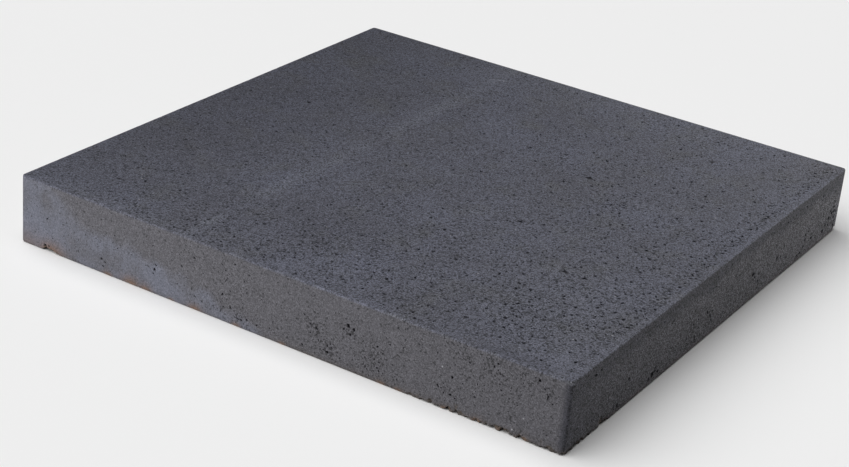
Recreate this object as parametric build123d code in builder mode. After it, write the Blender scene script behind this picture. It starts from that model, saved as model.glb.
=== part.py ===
from build123d import *

import os

# A square concrete paving slab, vibro-pressed in a steel mould as one piece.
# Millimetres. The origin is the middle of the underside, +Z is up, and the four sides face X and Y.

# Size of the slab
slab_side = 600.0
slab_thickness = 70.0

# Edges: the mould rounds the upright corners, handling takes the sharpness off the top arris,
# and the foot crumbles a little where the mix meets the production board
corner_radius = 3.5
arris_radius = 1.2
foot_radius = 1.5

with BuildPart() as slab:
    with BuildSketch(Plane.XY) as plan:
        Rectangle(slab_side, slab_side)
        fillet(plan.vertices(), radius=corner_radius)
    extrude(amount=slab_thickness)
    walking_face = slab.faces().sort_by(Axis.Z)[-1]
    fillet(walking_face.edges(), radius=arris_radius)
    bedding_face = slab.faces().sort_by(Axis.Z)[0]
    fillet(bedding_face.edges(), radius=foot_radius)

slab.part.label = "paving_slab"

os.makedirs("parts", exist_ok=True)
export_step(slab.part, "parts/paving_slab.step")
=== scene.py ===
import math

import bpy
import numpy as np
from mathutils import Matrix, Vector, kdtree, noise
from mathutils.geometry import delaunay_2d_cdt


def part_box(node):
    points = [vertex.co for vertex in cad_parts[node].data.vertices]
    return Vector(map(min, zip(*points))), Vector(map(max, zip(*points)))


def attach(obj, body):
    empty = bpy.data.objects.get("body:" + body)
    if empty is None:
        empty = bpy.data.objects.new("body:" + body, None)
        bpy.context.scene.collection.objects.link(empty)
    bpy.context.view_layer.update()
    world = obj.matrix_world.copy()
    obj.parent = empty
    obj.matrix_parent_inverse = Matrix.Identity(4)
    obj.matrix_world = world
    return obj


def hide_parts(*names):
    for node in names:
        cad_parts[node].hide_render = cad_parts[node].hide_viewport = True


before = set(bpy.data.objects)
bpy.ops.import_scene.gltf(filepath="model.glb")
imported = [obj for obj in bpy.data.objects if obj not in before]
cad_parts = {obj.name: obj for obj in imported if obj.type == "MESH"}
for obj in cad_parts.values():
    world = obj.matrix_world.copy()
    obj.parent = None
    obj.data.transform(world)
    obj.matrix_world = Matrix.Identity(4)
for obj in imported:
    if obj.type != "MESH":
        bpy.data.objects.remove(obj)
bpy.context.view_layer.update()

# Shapes are worked out in millimetres and handed over in metres
MM = 0.001

# A full turn in radians, and the seed of everything that is thrown
TURN = 2 * math.pi
SEED = 7

# The slab's size from the frame, and its edges as they leave the mould
low_corner, high_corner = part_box("paving_slab")
SLAB_SIDE = (high_corner[0] - low_corner[0]) / MM
SLAB_THICKNESS = (high_corner[2] - low_corner[2]) / MM
HALF_SIDE = SLAB_SIDE / 2
CORNER_RADIUS = 3.5
ARRIS_RADIUS = 1.2
FOOT_RADIUS = 1.5

# Lengths along the outline and up the edge profile
STRAIGHT_RUN = SLAB_SIDE - 2 * CORNER_RADIUS
QUARTER_RUN = STRAIGHT_RUN + CORNER_RADIUS * TURN / 4
OUTLINE_RUN = 4 * QUARTER_RUN
FOOT_RUN = FOOT_RADIUS * TURN / 4
SIDE_RUN = SLAB_THICKNESS - FOOT_RADIUS - ARRIS_RADIUS
ARRIS_RUN = ARRIS_RADIUS * TURN / 4

# How closely the mesh follows the edges, its spacing on the plain concrete between pores, and the share of
# that spacing that stays clear round each pore
FOOT_STEP = 1.3
ARRIS_STEP = 2.2
TOP_SPACING = 7.5
SIDE_SPACING = 5.5
UNDERSIDE_SPACING = 12.0
SPACING_JITTER_SHARE = 0.32
PORE_CLEARANCE_SHARE = 1 / 3
MERGE_DISTANCE = 1e-5

# Rows of mesh beside the arris and the foot, as distances from the end of each rounding
TOP_RING_INSETS = (1.5,)
UNDERSIDE_RING_INSETS = (1.6, 4.0)
FOOT_ROW_SHARES = (0.0, 0.5, 1.0)
FOOT_ROW_RISES = (1.0, 2.2, 3.8)
ARRIS_ROW_SHARES = (0.0, 0.35, 0.7, 1.0)
ARRIS_ROW_DROPS = (1.0, 2.4)
CORNER_COLUMN_SHARES = (0.0, 0.25, 0.5, 0.75, 1.0)

# Pores of the walking face: open voids between the grains of the pressed mix
TOP_PORES = 4800
TOP_PORE_WIDTH = 2.0
PORE_WIDTH_RANGE = (1.0, 5.0)
PORE_LARGEST_SHARE = 2.2
PORE_WALL_BETWEEN = 0.45
PORE_SPREAD_SHARE = 0.4
PORE_OPENING_SHARES = (0.85, 1.25)
PORE_RADIUS_SHARES = (0.55, 1.25)
PORE_STRETCH_SHARES = (1.0, 1.8)
PORE_DEPTH_SHARES = (0.4, 1.1)
PORE_FLOOR_DEPTH_SHARES = (0.8, 1.0)
PORE_TURN_SHARE = 0.3

# Small, middling and large pores: widths between the kinds, points round the rim and on the floor
PORE_KIND_WIDTHS = (1.9, 3.2)
RIM_POINTS = (5, 7, 10)
FLOOR_POINTS = (1, 2, 4)
FLOOR_WIDTH_SHARES = (0.1, 0.5, 0.5)

# Pits of the four sides and of the underside, and the widest of those that are listed
LARGEST_PIT_WIDTH = 6.0
SIDE_PITS = 2650
SIDE_PIT_WIDTH = 1.25
UNDERSIDE_PITS = 420
UNDERSIDE_PIT_WIDTH = 2.4

# What keeps the noise patterns apart: the shift for each seed, then the seeds and the layers
SWELL_SHIFTS = (17.3, 5.1, 9.7)
ARRIS_WAVE_SEED, ARRIS_CHIP_SEED, FOOT_WAVE_SEED, FOOT_CRUMB_SEED = 1, 2, 3, 4
DARK_STRIP_SEED, LAITANCE_SEED, FOOT_STAIN_SEED = 5, 6, 7
TOP_PATCH_LAYER, TOP_CLUSTER_LAYER, SIDE_PATCH_LAYER, UNDERSIDE_PATCH_LAYER = 0, 1, 3, 6


def smooth_step(values, start, end):
    """Rises smoothly from 0 at start to 1 at end."""
    share = np.clip((np.asarray(values, float) - start) / (end - start), 0, 1)
    return share * share * (3 - 2 * share)


def swell(places, size, seed):
    """Smooth noise from about -1 to 1 at each place, with bumps about that size across."""
    shift = Vector([seed * step for step in SWELL_SHIFTS])
    return np.array([noise.noise(Vector(place) / size + shift) for place in places])


def front_run(x):
    """Length along the outline at a place on the front side."""
    return x + STRAIGHT_RUN / 2


def right_run(y):
    """Length along the outline at a place on the right side."""
    return QUARTER_RUN + y + STRAIGHT_RUN / 2


def along_outline(along):
    """Places on the outline, and the way out of it, counted from the left end of the front side."""
    side, run = np.divmod(np.asarray(along, float), QUARTER_RUN)
    bend = np.clip((run - STRAIGHT_RUN) / CORNER_RADIUS, 0, TURN / 4)
    x = np.minimum(run, STRAIGHT_RUN) - STRAIGHT_RUN / 2 + CORNER_RADIUS * np.sin(bend)
    y = CORNER_RADIUS * (1 - np.cos(bend)) - HALF_SIDE
    turned = side * TURN / 4
    places = np.stack([x * np.cos(turned) - y * np.sin(turned), x * np.sin(turned) + y * np.cos(turned)], 1)
    return places, np.stack([np.sin(turned + bend), -np.cos(turned + bend)], 1)


def up_profile(up):
    """Inset, height and tilt of the surface, counted from the underside's edge over foot, side and arris."""
    up = np.asarray(up, float)
    foot = np.clip(up / FOOT_RADIUS, 0, TURN / 4) - TURN / 4
    arris = np.clip((up - FOOT_RUN - SIDE_RUN) / ARRIS_RADIUS, 0, TURN / 4)
    rise = np.clip(up - FOOT_RUN, 0, SIDE_RUN)
    inset = FOOT_RADIUS * (1 - np.cos(foot)) + ARRIS_RADIUS * (1 - np.cos(arris))
    height = FOOT_RADIUS * (1 + np.sin(foot)) + rise + ARRIS_RADIUS * np.sin(arris)
    return inset, height, foot + arris


def from_outline(places):
    """Distance in from the outline, and the way out, at places on the plan."""
    reach = HALF_SIDE - CORNER_RADIUS
    over = np.abs(places[:, :2]) - reach
    round_part = np.maximum(over, 0)
    length = np.linalg.norm(round_part, axis=1)
    inset = CORNER_RADIUS - length - np.minimum(over.max(1), 0)
    straight = np.where(over[:, :1] >= over[:, 1:], [[1.0, 0.0]], [[0.0, 1.0]])
    way = np.where(length[:, None] > 0, round_part / np.maximum(length, MERGE_DISTANCE)[:, None], straight)
    return inset, way * np.sign(places[:, :2])


def throw_pores(dice, placed, count, width, corners, openness):
    """Centres and widths of pores: those listed, then more thrown where they fit between them."""
    (low_u, low_v), (high_u, high_v) = corners
    cell = LARGEST_PIT_WIDTH + PORE_WALL_BETWEEN
    kept = {}
    pores = list(placed)
    for u, v, wide in pores:
        kept.setdefault((int(u // cell), int(v // cell)), []).append((u, v, wide))
    while len(pores) < count:
        u, v = dice.uniform(low_u, high_u), dice.uniform(low_v, high_v)
        open_here = openness(u, v)
        if dice.random() > open_here:
            continue
        opening = np.interp(open_here, (0, 1), PORE_OPENING_SHARES)
        wide = width * opening * dice.lognormal(0, PORE_SPREAD_SHARE)
        wide = min(max(wide, PORE_WIDTH_RANGE[0]), width * PORE_LARGEST_SHARE, PORE_WIDTH_RANGE[1])
        column, row = int(u // cell), int(v // cell)
        groups = [kept.get((column + i, row + j), []) for i in (-1, 0, 1) for j in (-1, 0, 1)]
        others = [pore for group in groups for pore in group]
        if any(math.hypot(u - a, v - b) < (wide + w) / 2 + PORE_WALL_BETWEEN for a, b, w in others):
            continue
        kept.setdefault((column, row), []).append((u, v, wide))
        pores.append((u, v, wide))
    return pores


def ring(dice, centre, width, sides, stretch, lean):
    """An uneven closed ring of points round a pore."""
    angles = (np.arange(sides) + dice.uniform(-PORE_TURN_SHARE, PORE_TURN_SHARE, sides)) * TURN / sides
    radii = width / 2 * dice.uniform(*PORE_RADIUS_SHARES, sides)
    across = np.stack([radii * np.cos(angles) * stretch, radii * np.sin(angles) / stretch], 1)
    turn = np.array([[math.cos(lean), math.sin(lean)], [-math.sin(lean), math.cos(lean)]])
    return np.asarray(centre) + across @ turn


def dig_pores(dice, pores):
    """Rim and floor points of each pore, with each point's depth and how far it is down in the dark."""
    points, depths, shades = [], [], []
    for u, v, width in pores:
        stretch = math.sqrt(dice.uniform(*PORE_STRETCH_SHARES))
        lean = dice.uniform(0, TURN)
        kind = sum(width >= limit for limit in PORE_KIND_WIDTHS)
        rim_points, floor_points = RIM_POINTS[kind], FLOOR_POINTS[kind]
        depth_share = dice.uniform(*PORE_DEPTH_SHARES)
        rim = ring(dice, (u, v), width, rim_points, stretch, lean)
        floor = ring(dice, (u, v), width * FLOOR_WIDTH_SHARES[kind], floor_points, stretch, lean)
        points += [rim, floor]
        uneven = dice.uniform(*PORE_FLOOR_DEPTH_SHARES, floor_points)
        depths += [np.zeros(rim_points), width * depth_share * uneven]
        shades += [np.zeros(rim_points), np.full(floor_points, (1 + depth_share) / 2)]
    return np.concatenate(points), np.concatenate(depths), np.concatenate(shades)


def clear_of_pores(points, pores, margin):
    """Those of the points that keep that far from the rim of the nearest pore."""
    tree = kdtree.KDTree(len(pores))
    for number, (u, v, _) in enumerate(pores):
        tree.insert((u, v, 0), number)
    tree.balance()
    kept = []
    for point in points:
        _, number, distance = tree.find((point[0], point[1], 0))
        if distance > pores[number][2] / 2 + margin:
            kept.append(point)
    return np.array(kept)


def fill_between(dice, corners, spacing, pores, clear):
    """Loosely spaced points on the plain concrete, clear of pores and of the field's edge."""
    (low_u, low_v), (high_u, high_v) = corners
    across = np.arange(low_u + spacing / 2, high_u, spacing)
    up = np.arange(low_v + spacing / 2, high_v, spacing)
    grid = np.stack(np.meshgrid(across, up), -1).reshape(-1, 2)
    grid = grid + dice.uniform(-SPACING_JITTER_SHARE, SPACING_JITTER_SHARE, grid.shape) * spacing
    grid = clear_of_pores(grid, pores, spacing * PORE_CLEARANCE_SHARE)
    return grid[[clear(point) for point in grid]]


def triangles_over(points):
    """Delaunay triangles over points on a flat field, as rows of three numbers of points."""
    found = delaunay_2d_cdt([Vector(point) for point in points], [], [], 0, MERGE_DISTANCE)
    first = np.array([sources[0] for sources in found[3]])
    return first[np.array(found[2])]


def spot(u, v, spots):
    """How near a place is to the nearest of some soft spots, each a place and a width."""
    return max(math.exp(-((u - a) ** 2 + (v - b) ** 2) / (width / 2) ** 2) for a, b, width in spots)


def patchiness(u, v, size, layer):
    """Smooth noise from about -1 to 1 over a flat field, with patches about that size across."""
    return noise.noise(Vector((u / size, v / size, layer)))


# The walking face is open towards the front corner, and along a rough line inside the right arris
ROUGH_LINE = 13.0
ROUGH_LINE_WIDTH = 14.0
SMOOTH_STRIP = 7.0
OPEN_PATCH_SIZE = 45.0
PORE_CLUSTER_SIZE = 10.0
TOP_OPEN_PATCHES = (
    (160.0, 42.0, 40.0),
    (190.0, -38.0, 26.0),
    (155.0, -112.0, 24.0),
    (-15.0, -225.0, 50.0),
    (215.0, -212.0, 70.0),
    (-90.0, -255.0, 30.0),
)

# It is rubbed smooth at the front corner and inside the arris beside it, and closed towards the right corner
TOP_SMOOTH_PATCHES = (
    (285.0, -285.0, 60.0),
    (250.0, -292.0, 44.0),
    (215.0, -294.0, 40.0),
    (180.0, -294.0, 34.0),
    (228.0, 185.0, 110.0),
)

# Single large pores of the walking face: x, y and width
TOP_PITS = (
    (143.0, -25.0, 4.2), (192.0, 148.0, 4.4), (188.0, -33.0, 4.0), (254.0, -60.0, 4.0),
    (260.0, -202.0, 4.0), (249.0, -213.0, 3.8), (225.0, -179.0, 4.0), (228.0, -25.0, 3.4),
    (155.0, 53.0, 3.6), (224.0, -90.0, 3.4), (289.0, -79.0, 4.4), (289.0, -109.0, 4.2),
    (289.0, -182.0, 4.4), (286.0, -20.0, 3.8), (288.0, -215.0, 3.6), (285.0, -200.0, 3.8),
    (287.0, -160.0, 3.6), (284.0, -140.0, 4.0), (286.0, -93.0, 3.8), (283.0, -55.0, 3.6),
    (287.0, -38.0, 4.0), (285.0, 4.0, 3.8), (288.0, 22.0, 4.2), (284.0, 45.0, 3.6), (287.0, 63.0, 4.0),
    (286.0, 84.0, 4.2), (283.0, 101.0, 3.6), (287.0, 118.0, 4.0), (285.0, 168.0, 3.8), (54.0, -273.0, 4.2),
    (58.0, -266.0, 3.6), (178.0, -184.0, 4.6), (168.0, -219.0, 4.0), (245.0, -275.0, 4.2),
    (255.0, -266.0, 3.6), (141.0, -291.0, 4.0), (148.0, -291.0, 3.6), (187.0, -216.0, 3.8),
    (213.0, -243.0, 3.8), (188.0, -227.0, 3.4), (159.0, -257.0, 3.4), (145.0, -267.0, 3.2),
    (77.0, -276.0, 3.6), (-228.0, -243.0, 4.6), (-121.0, -291.0, 3.8), (-110.0, -290.0, 3.8),
    (-187.0, -284.0, 4.0), (-76.0, -291.0, 3.6), (-71.0, -286.0, 3.4), (-203.0, -193.0, 3.6),
    (-151.0, -234.0, 3.4), (291.0, 206.0, 3.4), (291.5, 210.5, 3.2), (290.0, 218.0, 3.2),
    (291.0, 233.0, 3.6), (258.0, 217.0, 4.0), (272.0, 281.0, 4.0), (288.0, 274.0, 3.6), (290.0, 184.0, 3.6),
    (290.0, 146.0, 3.8),
)

# What adds to the walking face's openness, and how far the smooth places and the smooth strip lessen it
TOP_CLOSED_SHARE = 0.18
TOP_FRONT_SHARE = 0.68
TOP_LINE_SHARE = 0.65
TOP_PATCH_SHARE = 0.2
TOP_CLUSTER_SHARE = 0.3
TOP_SPOT_SHARE = 0.4
TOP_LEAST_SHARE = 0.04
SMOOTH_PATCH_SHARE = 0.8
SMOOTH_STRIP_SHARE = 0.2


def top_openness(x, y):
    """Share of thrown pores that stay, over the walking face."""
    frontness = (x - y) / (2 * SLAB_SIDE) + 0.5
    from_right = HALF_SIDE - x
    rough_line = math.exp(-((from_right - ROUGH_LINE) / (ROUGH_LINE_WIDTH / 2)) ** 2)
    share = TOP_CLOSED_SHARE + TOP_FRONT_SHARE * frontness**2 + TOP_LINE_SHARE * rough_line
    share += TOP_PATCH_SHARE * patchiness(x, y, OPEN_PATCH_SIZE, TOP_PATCH_LAYER)
    share += TOP_CLUSTER_SHARE * patchiness(x, y, PORE_CLUSTER_SIZE, TOP_CLUSTER_LAYER)
    share += TOP_SPOT_SHARE * spot(x, y, TOP_OPEN_PATCHES)
    share = min(1.0, max(TOP_LEAST_SHARE, share)) * (1 - SMOOTH_PATCH_SHARE * spot(x, y, TOP_SMOOTH_PATCHES))
    return share * SMOOTH_STRIP_SHARE if from_right < SMOOTH_STRIP else share


# Single large pits of the sides: place along the side, height and width
FRONT_PITS = (
    (80.5, 45.0, 5.0), (86.5, 43.0, 3.8), (76.0, 40.0, 3.2), (83.0, 37.0, 3.4), (88.5, 38.0, 2.8),
    (48.0, 30.5, 3.6), (50.5, 20.0, 3.0), (60.5, 11.5, 3.4), (41.0, 33.0, 2.8), (63.5, 20.5, 2.4),
    (100.0, 21.0, 2.4), (188.5, 34.0, 3.4), (-28.0, 11.5, 3.2), (-34.0, 9.5, 2.4), (-56.5, 28.0, 3.0),
    (-134.0, 31.0, 2.6), (-135.5, 26.0, 3.4), (-136.5, 21.5, 2.4), (-199.0, 15.5, 3.4), (-195.0, 13.5, 2.6),
    (-197.0, 8.5, 3.0), (-180.0, 33.0, 2.2), (270.0, 62.0, 3.4), (276.0, 56.0, 2.8), (-44.0, 62.0, 2.6),
    (188.0, 17.0, 3.4), (193.0, 15.5, 2.8), (-269.5, 6.0, 4.4), (-264.8, 6.8, 3.4),
)
RIGHT_PITS = (
    (271.5, 23.0, 5.5), (278.5, 27.0, 5.5), (287.0, 19.0, 5.5), (279.0, 20.5, 4.0), (289.5, 9.5, 5.0),
    (264.5, 17.5, 4.0), (258.0, 12.5, 6.0), (226.5, 16.0, 5.5), (208.0, 26.0, 4.0), (207.5, 20.5, 4.0),
    (207.0, 13.0, 4.4), (242.0, 58.0, 3.4), (269.0, 41.0, 3.6), (282.0, 39.0, 3.6), (191.0, 8.0, 4.0),
    (199.0, 9.0, 4.0), (160.0, 18.0, 3.4), (75.0, 30.0, 5.6), (79.5, 25.5, 4.0), (90.0, 17.5, 5.0),
    (63.0, 14.0, 4.0), (150.0, 34.0, 2.8), (-21.5, 23.0, 5.5), (-18.0, 17.5, 3.6), (-30.0, 30.0, 3.6),
    (-71.0, 19.0, 4.0), (-128.0, 9.0, 5.0), (-134.0, 12.0, 4.0), (-145.0, 8.0, 4.6), (-188.0, 27.0, 4.4),
    (-206.0, 8.0, 5.0), (-212.5, 9.0, 4.0), (-248.0, 61.0, 3.6), (-257.0, 60.0, 4.0), (285.0, 27.0, 4.6),
    (290.5, 25.5, 4.0), (273.0, 30.0, 4.0), (282.5, 32.5, 3.6), (291.0, 14.5, 3.2), (272.0, 15.0, 3.4),
    (280.5, 14.5, 3.6),
)

# Honeycombed places, where the mix stayed open: place, height and width of each
FRONT_HONEYCOMBS = (
    (82.0, 41.0, 15.0), (50.0, 27.0, 26.0), (60.0, 13.0, 22.0), (200.0, 63.0, 26.0), (230.0, 63.0, 26.0),
    (262.0, 62.0, 26.0), (278.0, 56.0, 20.0), (-30.0, 10.0, 16.0), (110.0, 22.0, 30.0),
)
RIGHT_HONEYCOMBS = (
    (280.0, 20.0, 34.0), (75.0, 28.0, 14.0), (93.0, 18.0, 14.0), (-22.0, 23.0, 14.0), (225.0, 15.0, 18.0),
    (255.0, 13.0, 18.0), (-60.0, 18.0, 40.0),
)
HONEYCOMBS = ([(front_run(x), height, width) for x, height, width in FRONT_HONEYCOMBS]
              + [(right_run(y), height, width) for y, height, width in RIGHT_HONEYCOMBS])
SMOOTH_END = front_run(-150.0)
OPEN_START = front_run(-40.0)
CORNER_CLEARANCE = 8.0

# What adds to the sides' openness
SIDE_OPEN_SHARE = 0.24
SIDE_PATCH_SHARE = 0.28
SIDE_SMOOTH_SHARE = 0.3
SIDE_SPOT_SHARE = 0.75
SIDE_LEAST_SHARE = 0.03


def from_corner(along):
    """Distance along the outline from the nearest corner's rounding, below 0 on the rounding itself."""
    run = along % QUARTER_RUN
    return min(run, STRAIGHT_RUN - run)


def side_openness(along, up):
    """Share of thrown pits that stay, over the sides: few at the front's left end, none at the corners."""
    if from_corner(along) < CORNER_CLEARANCE:
        return 0.0
    share = SIDE_OPEN_SHARE + SIDE_PATCH_SHARE * patchiness(along, up, OPEN_PATCH_SIZE, SIDE_PATCH_LAYER)
    share *= SIDE_SMOOTH_SHARE + (1 - SIDE_SMOOTH_SHARE) * float(smooth_step(along, SMOOTH_END, OPEN_START))
    return min(1.0, max(SIDE_LEAST_SHARE, share + SIDE_SPOT_SHARE * spot(along, up, HONEYCOMBS)))


def underside_openness(x, y):
    """Share of thrown pits that stay, over the underside."""
    return (1 + patchiness(x, y, OPEN_PATCH_SIZE, UNDERSIDE_PATCH_LAYER)) / 2


def evenly(step):
    """Marks all along the outline, about that far apart."""
    count = round(OUTLINE_RUN / step)
    return np.arange(count) * OUTLINE_RUN / count


def joined(border, pore_points, depths, shades, plain, openness):
    """All points of a field, with the depth, the darkness and the openness at each."""
    points = np.concatenate([border, pore_points, plain])
    depths = np.concatenate([np.zeros(len(border)), depths, np.zeros(len(plain))])
    shades = np.concatenate([np.zeros(len(border)), shades, np.zeros(len(plain))])
    return points, depths, shades, np.array([openness(u, v) for u, v in points])


def side_field(dice):
    """Points over the unrolled sides: rows at foot and arris, columns at corners, pits, plain concrete."""
    foot_marks, arris_marks = evenly(FOOT_STEP), evenly(ARRIS_STEP)
    foot_rows = [FOOT_RUN * share for share in FOOT_ROW_SHARES] + [FOOT_RUN + rise for rise in FOOT_ROW_RISES]
    arris_rows = [FOOT_RUN + SIDE_RUN - drop for drop in reversed(ARRIS_ROW_DROPS)]
    arris_rows += [FOOT_RUN + SIDE_RUN + ARRIS_RUN * share for share in ARRIS_ROW_SHARES]
    foot_lines = [np.stack([foot_marks, np.full(len(foot_marks), row)], 1) for row in foot_rows]
    arris_lines = [np.stack([arris_marks, np.full(len(arris_marks), row)], 1) for row in arris_rows]
    inner_lines = foot_lines[1:] + arris_lines[:-1]
    clearance = PORE_WIDTH_RANGE[1] / 2
    corners = ((clearance, foot_rows[-1] + clearance), (OUTLINE_RUN - clearance, arris_rows[0] - clearance))
    column_ups = np.arange(corners[0][1], corners[1][1], SIDE_SPACING)
    for side in range(4):
        for share in CORNER_COLUMN_SHARES:
            along = side * QUARTER_RUN - share * (QUARTER_RUN - STRAIGHT_RUN)
            inner_lines.append(np.stack([np.full(len(column_ups), along % OUTLINE_RUN), column_ups], 1))
    placed = [(front_run(x), height, width) for x, height, width in FRONT_PITS]
    placed += [(right_run(y), height, width) for y, height, width in RIGHT_PITS]
    pits = throw_pores(dice, placed, SIDE_PITS, SIDE_PIT_WIDTH, corners, side_openness)
    pit_points, depths, shades = dig_pores(dice, pits)
    plain = fill_between(dice, corners, SIDE_SPACING, pits, lambda point: from_corner(point[0]) > clearance)
    inner = clear_of_pores(np.concatenate(inner_lines), pits, PORE_WALL_BETWEEN)
    border = np.concatenate([foot_lines[0], arris_lines[-1], inner])
    foot_edge = np.arange(len(foot_marks))
    arris_edge = len(foot_marks) + np.arange(len(arris_marks))
    return *joined(border, pit_points, depths, shades, plain, side_openness), foot_edge, arris_edge


def side_triangles(points):
    """Triangles over the unrolled sides, closed where the strip meets itself."""
    seam = np.flatnonzero(points[:, 0] == 0)
    again = points[seam] + [OUTLINE_RUN, 0]
    numbers = np.concatenate([np.arange(len(points)), seam])
    return numbers[triangles_over(np.concatenate([points, again]))]


def flat_field(dice, marks, edge_inset, ring_insets, placed, count, width, spacing, openness):
    """Points over the walking face or the underside, inside its edge: rings, pores and plain concrete."""
    places, ways = along_outline(marks)
    rings = [places - (edge_inset + inset) * ways for inset in ring_insets]
    free = edge_inset + ring_insets[-1]
    reach = HALF_SIDE - free - PORE_WIDTH_RANGE[0]
    corners = ((-reach, -reach), (reach, reach))

    def clear(point):
        inset, _ = from_outline(point[None])
        return inset[0] > free + PORE_WALL_BETWEEN

    pores = throw_pores(dice, placed, count, width, corners, openness)
    pores = [(x, y, wide) for x, y, wide in pores if clear(np.array((x, y)) + np.sign((x, y)) * wide)]
    pore_points, depths, shades = dig_pores(dice, pores)
    plain = fill_between(dice, corners, spacing, pores, clear)
    return joined(np.concatenate(rings), pore_points, depths, shades, plain, openness)


# Worn arris: how deep it is rubbed away, the share of that on the front, right, back and left sides,
# how uneven the wear is, where along X it starts to be paler, and the knocked tip of the front corner
ARRIS_WEAR = 1.5
ARRIS_WEAR_SHARES = (1.0, 0.55, 0.5, 0.5)
ARRIS_WAVE = 16.0
ARRIS_CHIP = 5.0
ARRIS_UNEVEN_SHARES = (0.58, 0.35, 0.45)
PALE_ARRIS_X = (-150.0, 120.0)
KNOCKED_TIP_PLACE = (HALF_SIDE, -HALF_SIDE)
KNOCKED_TIP_WIDTH = 15.0
KNOCKED_TIP_DEPTH = 2.2

# Crumbled foot: depth of the breaks, with a ragged stretch towards the front corner, and how uneven it is
FOOT_CRUMBLE = 0.7
RAGGED_CRUMBLE = 4.2
RAGGED_CENTRE = (250.0, -HALF_SIDE)
RAGGED_REACH = 75.0
RAGGED_FADE = 45.0
FOOT_WAVE = 14.0
FOOT_CRUMB = 4.2
FOOT_UNEVEN_SHARES = (0.45, 0.4, 1.5)
# Break depths over which the breaks get painted shade, dark like the floors of pores
DARK_BREAK_DEPTHS = (4.2, 6.6)

# Broken places at the foot, each a place, a width and a depth: a notch near the left corner with a shallower
# break beside it, and the lost tip of the right corner
FOOT_BREAKS = (
    ((-268.0, -HALF_SIDE), 10.0, 3.6),
    ((-260.0, -HALF_SIDE), 12.0, 2.6),
    ((HALF_SIDE, HALF_SIDE), 22.0, 3.4),
)
FOOT_BREAK_SHARES = (0.8, 0.45)
BREAK_SLOPE = math.radians(67)
WEAR_SLOPE = math.radians(45)


def near(places, centre, width):
    """A soft spot on the plan, 1 at its centre and fading over its width."""
    away = np.linalg.norm(places[:, :2] - np.array(centre), axis=1)
    return np.exp(-((2 * away / width) ** 2))


def side_shares(ways, shares):
    """The share that holds for the side that each place is next to: front, right, back or left."""
    weights = np.stack([np.maximum(-ways[:, 1], 0), np.maximum(ways[:, 0], 0),
                        np.maximum(ways[:, 1], 0), np.maximum(-ways[:, 0], 0)], 1)
    return (weights**2) @ np.array(shares)


def break_edge(places, rise, depth, slope):
    """Pushes the places that a break takes away in to its slanted face, and says how deep each went."""
    inset, ways = from_outline(places)
    lost = np.maximum(0, depth - inset * math.cos(slope) - rise * math.sin(slope))
    moved = places.copy()
    moved[:, :2] -= ways * (lost * math.cos(slope))[:, None]
    return moved, lost * math.sin(slope), lost


def wear_arris(places):
    """Rubs the arris round, unevenly and with small chips."""
    _, ways = from_outline(places)
    mean, wave, chip = ARRIS_UNEVEN_SHARES
    uneven = mean + wave * swell(places, ARRIS_WAVE, ARRIS_WAVE_SEED)
    uneven = np.clip(uneven + chip * swell(places, ARRIS_CHIP, ARRIS_CHIP_SEED), 0, None)
    depth = ARRIS_WEAR * side_shares(ways, ARRIS_WEAR_SHARES) * uneven
    depth = depth + KNOCKED_TIP_DEPTH * near(places, KNOCKED_TIP_PLACE, KNOCKED_TIP_WIDTH)
    moved, drop, lost = break_edge(places, SLAB_THICKNESS - places[:, 2], depth, WEAR_SLOPE)
    moved[:, 2] -= drop
    return moved, lost


def crumble_foot(places):
    """Breaks crumbs off the foot, most along the ragged stretch."""
    away = np.linalg.norm(places[:, :2] - np.array(RAGGED_CENTRE), axis=1)
    ragged = 1 - smooth_step(away, RAGGED_REACH, RAGGED_REACH + RAGGED_FADE)
    mean, wave, crumb = FOOT_UNEVEN_SHARES
    uneven = mean + wave * swell(places, FOOT_WAVE, FOOT_WAVE_SEED)
    uneven = np.clip(uneven + crumb * swell(places, FOOT_CRUMB, FOOT_CRUMB_SEED), 0, None)
    depth = (FOOT_CRUMBLE + RAGGED_CRUMBLE * ragged) * uneven
    even_share, uneven_share = FOOT_BREAK_SHARES
    for centre, width, break_depth in FOOT_BREAKS:
        depth = depth + break_depth * near(places, centre, width) * (even_share + uneven_share * uneven)
    moved, lift, lost = break_edge(places, places[:, 2], depth, BREAK_SLOPE)
    moved[:, 2] += lift
    return moved, lost


def folded_round(points, depths):
    """Places in space of points over the unrolled sides, each pushed in by its depth."""
    outline, ways = along_outline(points[:, 0])
    inset, height, tilt = up_profile(points[:, 1])
    places = np.column_stack([outline - inset[:, None] * ways, height])
    normals = np.column_stack([ways * np.cos(tilt)[:, None], np.sin(tilt)])
    return places - depths[:, None] * normals


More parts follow.
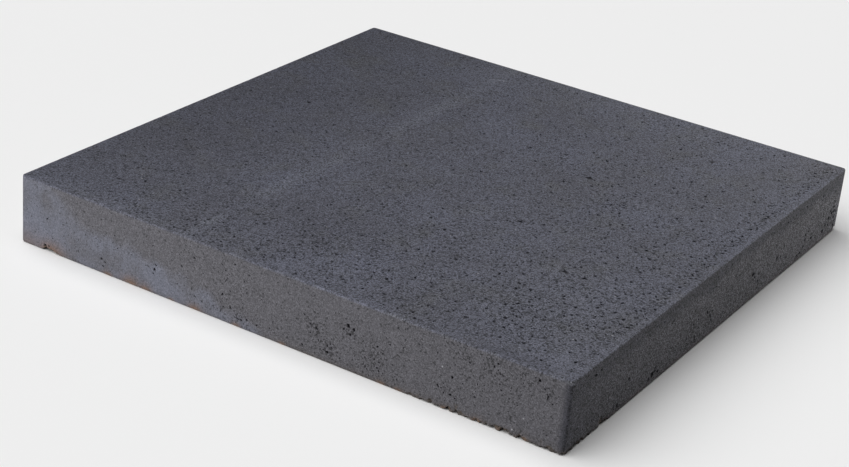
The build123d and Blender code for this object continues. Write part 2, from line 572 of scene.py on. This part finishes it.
def slab_shape():
    """The whole slab as one closed mesh, with how open, dark, worn and crumbled it is at each point."""
    dice = np.random.default_rng(SEED)
    side_points, side_depths, side_shades, side_open, foot_edge, arris_edge = side_field(dice)
    top_points, top_depths, top_shades, top_open = flat_field(
        dice, side_points[arris_edge, 0], ARRIS_RADIUS, TOP_RING_INSETS, TOP_PITS, TOP_PORES, TOP_PORE_WIDTH,
        TOP_SPACING, top_openness)
    under_points, under_depths, under_shades, under_open = flat_field(
        dice, side_points[foot_edge, 0], FOOT_RADIUS, UNDERSIDE_RING_INSETS, (), UNDERSIDE_PITS,
        UNDERSIDE_PIT_WIDTH, UNDERSIDE_SPACING, underside_openness)

    side_places = folded_round(side_points, side_depths)
    top_places = np.column_stack([top_points, SLAB_THICKNESS - top_depths])
    under_places = np.column_stack([under_points, under_depths])
    places = np.concatenate([side_places, top_places, under_places])

    top_numbers = np.concatenate([arris_edge, len(side_places) + np.arange(len(top_places))])
    under_start = len(side_places) + len(top_places)
    under_numbers = np.concatenate([foot_edge, under_start + np.arange(len(under_places))])
    sides = side_triangles(side_points)
    top = top_numbers[triangles_over(np.concatenate([places[arris_edge, :2], top_points]))]
    under = under_numbers[triangles_over(np.concatenate([places[foot_edge, :2], under_points]))][:, ::-1]
    faces = np.concatenate([sides, top, under])

    open_share = np.concatenate([side_open, top_open, under_open])
    pore = np.concatenate([side_shades, top_shades, under_shades])
    places, worn = wear_arris(places)
    places, crumbled = crumble_foot(places)
    worn = worn * smooth_step(places[:, 0], *PALE_ARRIS_X)
    pore = np.maximum(pore, smooth_step(crumbled, *DARK_BREAK_DEPTHS))
    return places, faces, {"open": open_share, "pore": pore, "worn": worn, "crumbled": crumbled}


# The sides' brownish concrete starts just under the arris: how far down it is all there is,
# on the front, right, back and left sides, and the share of that where it starts
ARRIS_FADES = (2.4, 1.0, 1.4, 1.4)
ARRIS_FADE_START_SHARE = 0.2

# The same concrete shows through the face mix at the right corner
SHOW_THROUGH_PLACE = (285.0, 285.0)
SHOW_THROUGH_WIDTH = 70.0
SHOW_THROUGH_SHARE = 0.6

# The right side is painted darker than the front, most towards the front corner and most of all down next to
# that corner: this is painted shade. Under its arris runs a dark smooth strip. Places and how dark the
# painted shade is there, and how far in from the right side's plane the dark is full and where it ends
RIGHT_PAINTED_SHADE_Y = (-300.0, -230.0, 0.0, 300.0)
RIGHT_PAINTED_SHADE_SHARES = (1.0, 0.5, 0.22, 0.0)
CORNER_PAINTED_SHADE_WIDTHS = (3.0, 10.0)
CORNER_PAINTED_SHADE_SHARE = 0.95
CORNER_TURN_INSETS = (3.0, 8.0)
DARK_STRIP_SHARE = 0.95
DARK_STRIP_HEIGHT = 18.0
DARK_STRIP_WAVE = 38.0
DARK_STRIP_WAVE_SHARE = 0.7
DARK_STRIP_EDGE_SHARES = (0.7, 1.3)

# Bluish laitance on the front side, below an edge that falls from the left end: the edge's places and heights
LAITANCE_EDGE_X = (-300.0, -266.0, -225.0, -150.0, -100.0, -64.0, -20.0, 40.0, 300.0)
LAITANCE_EDGE_HEIGHT = (84.0, 74.0, 46.0, 40.0, 32.0, 22.0, 12.0, -10.0, -20.0)
LAITANCE_FADE = 13.0
LAITANCE_RAGGED = 9.0
LAITANCE_RAGGED_SIZE = 16.0

# Rust at the front side's foot: how flat the spots are, place, width and strength of each
RUST_FLATNESS_SHARE = 1.5
RUST_SPOTS = (
    (-262.0, 31.0, 1.0), (-286.0, 40.0, 0.35), (-191.0, 11.0, 1.0), (-163.0, 20.0, 1.0),
    (-146.0, 15.0, 1.0), (-115.0, 7.0, 1.0), (-87.0, 15.0, 1.0), (-40.0, 10.0, 1.0), (12.0, 8.0, 1.0),
    (118.0, 9.0, 1.0), (136.0, 8.0, 1.0), (184.0, 9.0, 1.0), (216.0, 11.0, 1.0), (240.0, 9.0, 1.0),
    (262.0, 10.0, 1.0),
)

# Brown line along the foot, stronger towards the front corner
FOOT_STAIN_HEIGHT = 2.4
FOOT_STAIN_WAVE = 20.0
FOOT_STAIN_WAVE_SHARE = 0.5
FOOT_STAIN_SHARES = (0.45, 1.2)
FOOT_STAIN_GROWTH_X = (-40.0, 160.0)

# How strongly single grains show: on the walking face, on the front, right, back and left sides,
# and the share of that under laitance. On the right side it is made stronger as painted relief shade
TOP_GRAIN_SHARE = 1.3
SIDE_GRAIN_AND_SHADE_SHARES = (0.7, 2.4, 1.0, 1.0)
LAITANCE_GRAIN_SHARE = 0.6


def dark_strip_and_painted_shade(places, drop):
    """How dark the right side is: its painted shade, strongest next to the front corner, and its arris strip.
    """
    right = 1 - smooth_step(HALF_SIDE - places[:, 0], *CORNER_TURN_INSETS)
    wave = swell(places, DARK_STRIP_WAVE, DARK_STRIP_SEED)
    height = DARK_STRIP_HEIGHT * (1 + DARK_STRIP_WAVE_SHARE * wave)
    strip = 1 - smooth_step(drop / height, *DARK_STRIP_EDGE_SHARES)
    corner_painted_shade = 1 - smooth_step(places[:, 1] + HALF_SIDE, *CORNER_PAINTED_SHADE_WIDTHS)
    shade = np.interp(places[:, 1], RIGHT_PAINTED_SHADE_Y, RIGHT_PAINTED_SHADE_SHARES)
    return right * np.maximum.reduce([DARK_STRIP_SHARE * strip, CORNER_PAINTED_SHADE_SHARE * corner_painted_shade, shade])


def bluish_laitance(places, front):
    """How much laitance lies on the front side, below its ragged edge."""
    edge = np.interp(places[:, 0], LAITANCE_EDGE_X, LAITANCE_EDGE_HEIGHT)
    edge = edge + LAITANCE_RAGGED * swell(places, LAITANCE_RAGGED_SIZE, LAITANCE_SEED)
    return front * smooth_step(edge - places[:, 2], 0, LAITANCE_FADE)


def rust_spots(places, front):
    """How rusty the front side is, in flat soft spots at its foot."""
    rust = np.zeros(len(places))
    for x, width, strength in RUST_SPOTS:
        away = np.hypot(places[:, 0] - x, RUST_FLATNESS_SHARE * places[:, 2])
        rust = np.maximum(rust, strength * front * np.exp(-((2 * away / width) ** 2)))
    return rust


def brown_foot(places):
    """How strong the brown line along the foot is, which is uneven and fades upwards."""
    growth = np.interp(places[:, 0], FOOT_STAIN_GROWTH_X, FOOT_STAIN_SHARES)
    wave = swell(places, FOOT_STAIN_WAVE, FOOT_STAIN_SEED)
    return np.exp(-places[:, 2] / FOOT_STAIN_HEIGHT) * (growth + FOOT_STAIN_WAVE_SHARE * wave)


def stains(places):
    """Where the sides' concrete, dark strip, right side's painted shade, laitance, rust, brown foot and
    grains show.
    """
    drop = SLAB_THICKNESS - places[:, 2]
    _, ways = from_outline(places)
    backing = smooth_step(drop / side_shares(ways, ARRIS_FADES), ARRIS_FADE_START_SHARE, 1)
    backing = np.maximum(backing, SHOW_THROUGH_SHARE * near(places, SHOW_THROUGH_PLACE, SHOW_THROUGH_WIDTH))
    front = smooth_step(places[:, 1], -HALF_SIDE + CORNER_RADIUS, -HALF_SIDE)
    laitance = bluish_laitance(places, front)
    # The right side's stronger grain is painted relief shade
    grain = TOP_GRAIN_SHARE + backing * (side_shares(ways, SIDE_GRAIN_AND_SHADE_SHARES) - TOP_GRAIN_SHARE)
    grain = grain * (1 - laitance * (1 - LAITANCE_GRAIN_SHARE))
    return {"backing": backing, "strip": dark_strip_and_painted_shade(places, drop), "laitance": laitance,
            "rust": rust_spots(places, front), "stain": brown_foot(places), "grain": grain}


# Faces that meet at more than this angle meet in a sharp edge
SHARP_ANGLE = math.radians(32)


def make_slab():
    """The slab as a Blender object that takes the CAD slab's place."""
    places, faces, marks = slab_shape()
    marks.update(stains(places))
    mesh = bpy.data.meshes.new("slab_concrete")
    mesh.from_pydata((places * MM).tolist(), [], faces.tolist())
    for name, values in marks.items():
        mesh.attributes.new(name, "FLOAT", "POINT").data.foreach_set("value", np.asarray(values, np.float32))
    mesh.shade_smooth()
    mesh.set_sharp_from_angle(angle=SHARP_ANGLE)
    mesh.validate()
    slab = bpy.data.objects.new("slab_concrete", mesh)
    bpy.context.scene.collection.objects.link(slab)
    return slab


def linear(hex_colour):
    """An sRGB hex colour as linear red, green, blue and alpha."""
    shown = [int(hex_colour[i:i + 2], 16) / 255 for i in (1, 3, 5)]
    return [c / 12.92 if c <= 0.04045 else ((c + 0.055) / 1.055) ** 2.4 for c in shown] + [1.0]


def per_size(size):
    """A pattern's scale, for features of that size in millimetres."""
    return 1 / (size * MM)


def add_node(tree, kind, inputs, **settings):
    """Adds one node with its settings, and gives each input its value or its link."""
    node = tree.nodes.new(kind)
    for name, value in settings.items():
        setattr(node, name, value)
    for name, value in inputs.items():
        if isinstance(value, bpy.types.NodeSocket):
            tree.links.new(value, node.inputs[name])
        else:
            node.inputs[name].default_value = value
    return node


# Places of a Mix node's colour sockets
MIX_A, MIX_B, MIX_RESULT = 6, 7, 2

# Colours of the concrete
WALKING_SKIN = "#51525c"
WALKING_SMEAR = "#585a67"
WALKING_OLIVE = "#535350"
# Pale scuffs and a painted highlight, then darker patches and a painted shade line, on the walking face
PALE_SCUFF_AND_HIGHLIGHT = "#7c7f89"
DARK_PATCH_AND_SHADE = "#3b3b45"
SIDE_SKIN = "#504f54"
# Dark grey of the strip under the right arris, also the colour of the right side's painted shade
SIDE_STRIP_AND_SHADE = "#36363d"
SIDE_LAITANCE = "#5e606b"
PORE_SHADE = "#15151d"
WORN_ARRIS = "#5e5f65"
FOOT_BROWN = "#4c443d"
RUST_BROWN = "#6b4f38"
WHITE_SAND = "#919196"

# Sizes of its patterns, in millimetres. Real sand is mostly too fine to show, so the sand, the grit and the
# pinholes are drawn as coarse as needed
SAND_SIZE = 1.0
GRIT_SIZE = 1.4
PINHOLE_SIZE = 1.7
CLOUD_SIZE = 85.0
SIDE_CLOUD_SIZE = 28.0
OLIVE_SIZE = 38.0
DRAG_WIDTH = 5.0
DRAG_LENGTH_SHARE = 0.1
GLINT_SPACING = 25.0
GLINT_RADIUS = 1.1
RELIEF_DEPTH = 0.9

# The filling box's pale drag mark across the walking face, along Y, and the darker strip to its left
STREAK_X = -103.0
STREAK_WIDTH = 34.0
STREAK_SWAY = 5.0
STREAK_SWAY_SIZE = 90.0
STREAK_BREAK_SIZE = 60.0
LEFT_STRIP_FADE = 70.0

# Soft marks on the walking face, among them a painted highlight and a painted shade line as noted: x, y,
# length, width, turn in degrees and strength
PALE_MARKS = (
    (-20.0, 280.0, 600.0, 130.0, 0.0, 0.09),
    # Painted highlight: the slightly domed edge of the walking face inside the front's left arris
    (-190.0, -293.0, 320.0, 40.0, 0.0, 0.11),
    (245.0, -200.0, 300.0, 170.0, -60.0, 0.1),
    (-101.0, 130.0, 210.0, 22.0, 90.0, 0.13),
    (-105.0, -165.0, 90.0, 20.0, 88.0, 0.13),
    (-105.0, -255.0, 40.0, 12.0, 85.0, 0.25),
    (-96.0, 257.0, 40.0, 5.0, 27.0, 0.4),
    (-226.0, 126.0, 30.0, 5.0, -12.0, 0.35),
    (-37.0, 136.0, 30.0, 5.0, 22.0, 0.4),
    (5.0, -8.0, 36.0, 5.0, 14.0, 0.4),
    (-14.0, 36.0, 20.0, 5.0, 60.0, 0.35),
    (66.0, -70.0, 28.0, 5.0, 24.0, 0.4),
    (152.0, 272.0, 46.0, 5.0, 52.0, 0.4),
    (150.0, -85.0, 30.0, 5.0, -35.0, 0.35),
)
DARK_MARKS = (
    (-245.0, -20.0, 420.0, 200.0, 90.0, 0.28),
    (-20.0, -190.0, 300.0, 180.0, 10.0, 0.25),
    (245.0, -292.0, 140.0, 26.0, 0.0, 0.45),
    # Painted shade: a thin dark line that keeps the front's left arris from showing a bright edge
    (-190.0, -300.0, 460.0, 5.0, 0.0, 0.5),
)

# How each pattern is drawn: its scale, how much finer detail it has and how rough that is
CLOUDS = {"Scale": per_size(CLOUD_SIZE), "Detail": 5.0, "Roughness": 0.55}
OLIVE_PATCHES = {"Scale": per_size(OLIVE_SIZE), "Detail": 4.0, "Roughness": 0.6, "W": 4.0}
STREAK_SWAYS = {"Scale": per_size(STREAK_SWAY_SIZE), "Detail": 1.0}
SIDE_CLOUDS = {"Scale": per_size(SIDE_CLOUD_SIZE), "Detail": 4.0}
MOULD_DRAG = {"Scale": per_size(DRAG_WIDTH), "Detail": 3.0}
GRIT = {"Scale": per_size(GRIT_SIZE), "Detail": 1.0, "Roughness": 0.6}

# Which part of each pattern's range counts, and what it becomes
STREAK_LINE = {"From Max": STREAK_WIDTH / 2 * MM, "To Min": 1.0, "To Max": 0.0}
STREAK_STRENGTH = {"From Min": 0.35, "From Max": 0.65, "To Min": 0.03, "To Max": 0.15}
LEFT_STRIP_TONE = {"From Min": -LEFT_STRIP_FADE * MM, "From Max": 0.0, "To Min": 0.95, "To Max": 1.0}
SMEAR_AMOUNT = {"From Min": 0.35, "From Max": 0.75}
OLIVE_AMOUNT = {"From Min": 0.52, "From Max": 0.75, "To Max": 0.4}
LAITANCE_AMOUNT = {"From Min": 0.2, "From Max": 0.6}
DRAG_TONE = {"From Min": 0.3, "From Max": 0.7, "To Min": 0.93, "To Max": 1.07}
SAND_TONE = {"To Min": -0.7, "To Max": 0.7}
GRIT_TONE = {"From Min": 0.3, "From Max": 0.7, "To Min": 0.8, "To Max": 1.2}
PINHOLE_TONE = {"From Min": 0.08, "From Max": 0.16, "To Min": 0.35}
PORE_DARKNESS = {"From Min": 0.06, "From Max": 0.4, "To Max": 0.92}
GLINT_SHARE = GLINT_RADIUS / GLINT_SPACING
GLINT_AMOUNT = {"From Min": GLINT_SHARE / 2, "From Max": GLINT_SHARE, "To Min": 0.9, "To Max": 0.0}

# How much an open place adds to the chance of a pinhole
PINHOLE_OPEN_SHARE = 0.22

# Marks laid over the concrete: name, colour, and the depth or strength at which each is at its strongest
LAID_MARKS = (
    ("worn", WORN_ARRIS, 1.4),
    ("stain", FOOT_BROWN, 1.0),
    ("crumbled", FOOT_BROWN, 1.6),
    ("rust", RUST_BROWN, 1.1),
)
LAID_MARK_SHARE = 0.85

# Dry concrete: dull all over, with the gloss of common minerals
CONCRETE_ROUGHNESS = 0.88
CONCRETE_IOR = 1.5


def streak_mark(tree, place, across):
    """How strongly the drag mark shows: a soft wavering line that fades in and out."""
    breaks = add_node(tree, "ShaderNodeTexNoise", {"Vector": place, "Scale": per_size(STREAK_BREAK_SIZE)})
    strength = add_node(tree, "ShaderNodeMapRange", {"Value": breaks.outputs["Fac"], **STREAK_STRENGTH})
    off = add_node(tree, "ShaderNodeMath", {0: across}, operation="ABSOLUTE")
    line = add_node(tree, "ShaderNodeMapRange", {"Value": off.outputs[0], **STREAK_LINE},
                    interpolation_type="SMOOTHSTEP")
    return add_node(tree, "ShaderNodeMath", {0: line.outputs["Result"], 1: strength.outputs["Result"]},
                    operation="MULTIPLY").outputs[0]


def oval_marks(tree, place, ovals, start):
    """Soft marks, each a long oval, added to the marks so far."""
    marks = start
    for x, y, length, width, turn, strength in ovals:
        own = add_node(tree, "ShaderNodeMapping",
                       {"Vector": place, "Location": (x * MM, y * MM, SLAB_THICKNESS * MM),
                        "Rotation": (0, 0, math.radians(turn)),
                        "Scale": (length / 2 * MM, width / 2 * MM, width * MM)}, vector_type="TEXTURE")
        oval = add_node(tree, "ShaderNodeTexGradient", {"Vector": own.outputs["Vector"]},
                        gradient_type="SPHERICAL")
        marks = add_node(tree, "ShaderNodeMath", {0: oval.outputs["Fac"], 1: strength, 2: marks},
                         operation="MULTIPLY_ADD").outputs[0]
    return marks


def across_streak(tree, place):
    """How far each place is to the right of the drag mark, which sways a little along its length."""
    axes = add_node(tree, "ShaderNodeSeparateXYZ", {"Vector": place})
    sway = add_node(tree, "ShaderNodeTexNoise", {"Vector": place, **STREAK_SWAYS})
    swayed = add_node(tree, "ShaderNodeMath",
                      {0: sway.outputs["Fac"], 1: 2 * STREAK_SWAY * MM, 2: axes.outputs["X"]},
                      operation="MULTIPLY_ADD")
    return add_node(tree, "ShaderNodeMath", {0: swayed.outputs[0], 1: (STREAK_X + STREAK_SWAY) * MM},
                    operation="SUBTRACT").outputs[0]


def walking_colour(tree, place):
    """Blue-grey face mix: smears, olive patches, drag mark, scuffs, pale and dark places, painted highlight
    and shade.
    """
    clouds = add_node(tree, "ShaderNodeTexNoise", {"Vector": place, **CLOUDS})
    smear = add_node(tree, "ShaderNodeMapRange", {"Value": clouds.outputs["Fac"], **SMEAR_AMOUNT})
    skin = add_node(tree, "ShaderNodeMix",
                    {"Factor": smear.outputs["Result"], MIX_A: linear(WALKING_SKIN),
                     MIX_B: linear(WALKING_SMEAR)}, data_type="RGBA")
    patches = add_node(tree, "ShaderNodeTexNoise", {"Vector": place, **OLIVE_PATCHES}, noise_dimensions="4D")
    olive = add_node(tree, "ShaderNodeMapRange", {"Value": patches.outputs["Fac"], **OLIVE_AMOUNT})
    tinted = add_node(tree, "ShaderNodeMix",
                      {"Factor": olive.outputs["Result"], MIX_A: skin.outputs[MIX_RESULT],
                       MIX_B: linear(WALKING_OLIVE)}, data_type="RGBA")
    across = across_streak(tree, place)
    strip = add_node(tree, "ShaderNodeMapRange", {"Value": across, **LEFT_STRIP_TONE})
    toned = add_node(tree, "ShaderNodeVectorMath",
                     {0: tinted.outputs[MIX_RESULT], "Scale": strip.outputs["Result"]}, operation="SCALE")
    dark = oval_marks(tree, place, DARK_MARKS, 0.0)
    dark_patched_and_shaded = add_node(tree, "ShaderNodeMix",
                       {"Factor": dark, MIX_A: toned.outputs[0], MIX_B: linear(DARK_PATCH_AND_SHADE)}, data_type="RGBA")
    pale = oval_marks(tree, place, PALE_MARKS, streak_mark(tree, place, across))
    return add_node(tree, "ShaderNodeMix",
                    {"Factor": pale, MIX_A: dark_patched_and_shaded.outputs[MIX_RESULT], MIX_B: linear(PALE_SCUFF_AND_HIGHLIGHT)},
                    data_type="RGBA").outputs[MIX_RESULT]


def side_colour(tree, place):
    """Brownish backing concrete drawn up the mould wall, with laitance, a dark strip and the right side's
    painted shade.
    """
    laitance = add_node(tree, "ShaderNodeAttribute", {}, attribute_name="laitance")
    clouds = add_node(tree, "ShaderNodeTexNoise", {"Vector": place, **SIDE_CLOUDS})
    cloudy = add_node(tree, "ShaderNodeMapRange", {"Value": clouds.outputs["Fac"], **LAITANCE_AMOUNT})
    bluish = add_node(tree, "ShaderNodeMath",
                      {0: laitance.outputs["Fac"], 1: cloudy.outputs["Result"]}, operation="MULTIPLY")
    skin = add_node(tree, "ShaderNodeMix",
                    {"Factor": bluish.outputs[0], MIX_A: linear(SIDE_SKIN), MIX_B: linear(SIDE_LAITANCE)},
                    data_type="RGBA")
    # The strip attribute carries the dark strip and the right side's painted shade
    strip = add_node(tree, "ShaderNodeAttribute", {}, attribute_name="strip")
    darkened = add_node(tree, "ShaderNodeMix",
                        {"Factor": strip.outputs["Fac"], MIX_A: skin.outputs[MIX_RESULT],
                         MIX_B: linear(SIDE_STRIP_AND_SHADE)}, data_type="RGBA")
    stretched = add_node(tree, "ShaderNodeMapping", {"Vector": place, "Scale": (1, 1, DRAG_LENGTH_SHARE)})
    drag = add_node(tree, "ShaderNodeTexNoise", {"Vector": stretched.outputs["Vector"], **MOULD_DRAG})
    streak = add_node(tree, "ShaderNodeMapRange", {"Value": drag.outputs["Fac"], **DRAG_TONE})
    return add_node(tree, "ShaderNodeVectorMath",
                    {0: darkened.outputs[MIX_RESULT], "Scale": streak.outputs["Result"]},
                    operation="SCALE").outputs[0]


def grain_shade(tree, place, grit):
    """Light and dark of single sand grains in the skin, and pinholes as dark dots of painted shade."""
    strength = add_node(tree, "ShaderNodeAttribute", {}, attribute_name="grain")
    sand = add_node(tree, "ShaderNodeTexVoronoi", {"Vector": place, "Scale": per_size(SAND_SIZE)})
    tone = add_node(tree, "ShaderNodeMapRange", {"Value": sand.outputs["Color"], **SAND_TONE})
    toned = add_node(tree, "ShaderNodeMath", {0: tone.outputs["Result"], 1: strength.outputs["Fac"], 2: 1.0},
                     operation="MULTIPLY_ADD")
    mottle = add_node(tree, "ShaderNodeMapRange", {"Value": grit, **GRIT_TONE})
    grains = add_node(tree, "ShaderNodeMath", {0: toned.outputs[0], 1: mottle.outputs["Result"]},
                      operation="MULTIPLY")
    openness = add_node(tree, "ShaderNodeAttribute", {}, attribute_name="open")
    cells = add_node(tree, "ShaderNodeTexVoronoi", {"Vector": place, "Scale": per_size(PINHOLE_SIZE)})
    chance = add_node(tree, "ShaderNodeMath",
                      {0: openness.outputs["Fac"], 1: -PINHOLE_OPEN_SHARE, 2: cells.outputs["Color"]},
                      operation="MULTIPLY_ADD")
    pinholes = add_node(tree, "ShaderNodeMapRange", {"Value": chance.outputs[0], **PINHOLE_TONE})
    return add_node(tree, "ShaderNodeMath", {0: grains.outputs[0], 1: pinholes.outputs["Result"]},
                    operation="MULTIPLY").outputs[0]


def marked_colour(tree, colour):
    """The concrete's colour with the paler worn arris, the brown foot and the rust laid over it."""
    for name, hex_colour, strongest in LAID_MARKS:
        mark = add_node(tree, "ShaderNodeAttribute", {}, attribute_name=name)
        amount = add_node(tree, "ShaderNodeMapRange",
                          {"Value": mark.outputs["Fac"], "From Max": strongest, "To Max": LAID_MARK_SHARE})
        colour = add_node(tree, "ShaderNodeMix",
                          {"Factor": amount.outputs["Result"], MIX_A: colour, MIX_B: linear(hex_colour)},
                          data_type="RGBA").outputs[MIX_RESULT]
    return colour


def white_grains(tree, place):
    """Where a few white grains of sand show in the skin."""
    sand = add_node(tree, "ShaderNodeTexVoronoi", {"Vector": place, "Scale": per_size(GLINT_SPACING)})
    glint = add_node(tree, "ShaderNodeMapRange", {"Value": sand.outputs["Distance"], **GLINT_AMOUNT})
    return glint.outputs["Result"]


def dark_pores(tree):
    """How dark the floors of pores and deep breaks are, where little light gets in."""
    pore = add_node(tree, "ShaderNodeAttribute", {}, attribute_name="pore")
    dark = add_node(tree, "ShaderNodeMapRange", {"Value": pore.outputs["Fac"], **PORE_DARKNESS})
    return dark.outputs["Result"]


def pressed_concrete():
    """Vibro-pressed concrete dyed through with black oxide: dull, gritty, dark in its pores."""
    material = bpy.data.materials.new("pressed_anthracite_concrete")
    material.use_nodes = True
    tree = material.node_tree
    shader = tree.nodes["Principled BSDF"]
    place = add_node(tree, "ShaderNodeTexCoord", {}).outputs["Object"]
    backing = add_node(tree, "ShaderNodeAttribute", {}, attribute_name="backing")
    colour = add_node(tree, "ShaderNodeMix",
                      {"Factor": backing.outputs["Fac"], MIX_A: walking_colour(tree, place),
                       MIX_B: side_colour(tree, place)}, data_type="RGBA").outputs[MIX_RESULT]
    colour = marked_colour(tree, colour)
    grit = add_node(tree, "ShaderNodeTexNoise", {"Vector": place, **GRIT}).outputs["Fac"]
    colour = add_node(tree, "ShaderNodeVectorMath", {0: colour, "Scale": grain_shade(tree, place, grit)},
                      operation="SCALE").outputs[0]
    for amount, hex_colour in ((white_grains(tree, place), WHITE_SAND), (dark_pores(tree), PORE_SHADE)):
        colour = add_node(tree, "ShaderNodeMix",
                          {"Factor": amount, MIX_A: colour, MIX_B: linear(hex_colour)},
                          data_type="RGBA").outputs[MIX_RESULT]
    relief = add_node(tree, "ShaderNodeBump",
                      {"Height": grit, "Strength": 1.0, "Distance": RELIEF_DEPTH * MM})
    tree.links.new(colour, shader.inputs["Base Color"])
    tree.links.new(relief.outputs["Normal"], shader.inputs["Normal"])
    shader.inputs["Roughness"].default_value = CONCRETE_ROUGHNESS
    shader.inputs["IOR"].default_value = CONCRETE_IOR
    return material


# The floor's size in metres. It is matt white paper, which gives the eye an even pale ground without shine
FLOOR_SIZE = 40.0
FLOOR_COLOUR = "#f4f4f4"
PAPER_ROUGHNESS = 0.9

# The floor's own wide soft light: azimuth, elevation and spread in degrees, and its strength
FLOOR_LIGHT_AZIMUTH = -50
FLOOR_LIGHT_ELEVATION = 62
FLOOR_LIGHT_SPREAD = 85
FLOOR_LIGHT_STRENGTH = 3.35

# Lamps on the slab: name, azimuth and elevation in degrees, distance and size in metres, power in watts
LAMPS = (
    ("low_left_lamp", -20, 15, 1.4, 0.8, 11.3),
    ("high_lamp", 15, 68, 1.5, 0.8, 12.5),
    ("back_right_lamp", 155, 20, 1.4, 0.8, 13.2),
)

# The studio's dim pale surround
SURROUND_COLOUR = "#f4f4f4"
SURROUND_STRENGTH = 0.01


def make_floor():
    """A plain pale floor under the slab."""
    mesh = bpy.data.meshes.new("floor")
    half = FLOOR_SIZE / 2
    corners = [(-half, -half, 0), (half, -half, 0), (half, half, 0), (-half, half, 0)]
    mesh.from_pydata(corners, [], [(0, 1, 2, 3)])
    floor = bpy.data.objects.new("floor", mesh)
    bpy.context.scene.collection.objects.link(floor)
    material = bpy.data.materials.new("matt_white_paper")
    material.use_nodes = True
    shader = material.node_tree.nodes["Principled BSDF"]
    shader.inputs["Base Color"].default_value = linear(FLOOR_COLOUR)
    shader.inputs["Roughness"].default_value = PAPER_ROUGHNESS
    mesh.materials.append(material)
    return floor


def way_to(azimuth, elevation):
    """The way from the slab to a lamp or camera at that azimuth and elevation, in degrees."""
    a, e = math.radians(azimuth), math.radians(elevation)
    return Vector((math.sin(a) * math.cos(e), -math.cos(a) * math.cos(e), math.sin(e)))


def facing(way):
    """The turn of a light or camera that looks back along that way."""
    return way.to_track_quat("Z", "Y").to_matrix().to_4x4()


def add_light(name, kind, power, lit):
    """A light that is not itself in the picture and falls on one thing only."""
    light = bpy.data.objects.new(name, bpy.data.lights.new(name, kind))
    light.data.energy = power
    light.visible_camera = False
    receivers = bpy.data.collections.new(name + "_falls_on")
    receivers.objects.link(lit)
    light.light_linking.receiver_collection = receivers
    bpy.context.scene.collection.objects.link(light)
    return light


def light_studio(slab, floor):
    """Three round soft lamps on the slab, a wide soft light on the floor and a dim pale surround."""
    for name, azimuth, elevation, distance, size, power in LAMPS:
        lamp = add_light(name, "AREA", power, slab)
        lamp.data.shape = "DISK"
        lamp.data.size = size
        way = way_to(azimuth, elevation)
        lamp.matrix_world = Matrix.Translation(way * distance) @ facing(way)
    floor_light = add_light("floor_light", "SUN", FLOOR_LIGHT_STRENGTH, floor)
    floor_light.data.angle = math.radians(FLOOR_LIGHT_SPREAD)
    floor_light.matrix_world = facing(way_to(FLOOR_LIGHT_AZIMUTH, FLOOR_LIGHT_ELEVATION))
    world = bpy.data.worlds.new("dim_studio")
    world.use_nodes = True
    surround = world.node_tree.nodes["Background"]
    surround.inputs["Color"].default_value = linear(SURROUND_COLOUR)
    surround.inputs["Strength"].default_value = SURROUND_STRENGTH
    bpy.context.scene.world = world


# Camera, fitted to the slab's edges in the photograph: the image in pixels, the sensor in millimetres,
# the place that it looks at and its distance in metres, and its angles in degrees
IMAGE_WIDTH = 849
FOCAL_PIXELS = 1956
SENSOR_WIDTH = 36.0
CAMERA_AIM = (0.0186, -0.0792, 0.035)
CAMERA_DISTANCE = 1.8994
CAMERA_AZIMUTH = 30.343
CAMERA_ELEVATION = 25.091
CAMERA_ROLL = 5.486


def place_camera():
    """The camera at the photograph's viewing angle."""
    camera = bpy.data.objects.new("camera", bpy.data.cameras.new("camera"))
    camera.data.sensor_width = SENSOR_WIDTH
    camera.data.lens = SENSOR_WIDTH * FOCAL_PIXELS / IMAGE_WIDTH
    back = way_to(CAMERA_AZIMUTH, CAMERA_ELEVATION)
    turn = facing(back) @ Matrix.Rotation(math.radians(CAMERA_ROLL), 4, "Z")
    camera.matrix_world = Matrix.Translation(Vector(CAMERA_AIM) + back * CAMERA_DISTANCE) @ turn
    bpy.context.scene.collection.objects.link(camera)
    bpy.context.scene.camera = camera


slab = make_slab()
slab.data.materials.append(pressed_concrete())
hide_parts("paving_slab")
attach(slab, "root")
light_studio(slab, make_floor())
place_camera()
bpy.context.scene.view_settings.view_transform = "Standard"
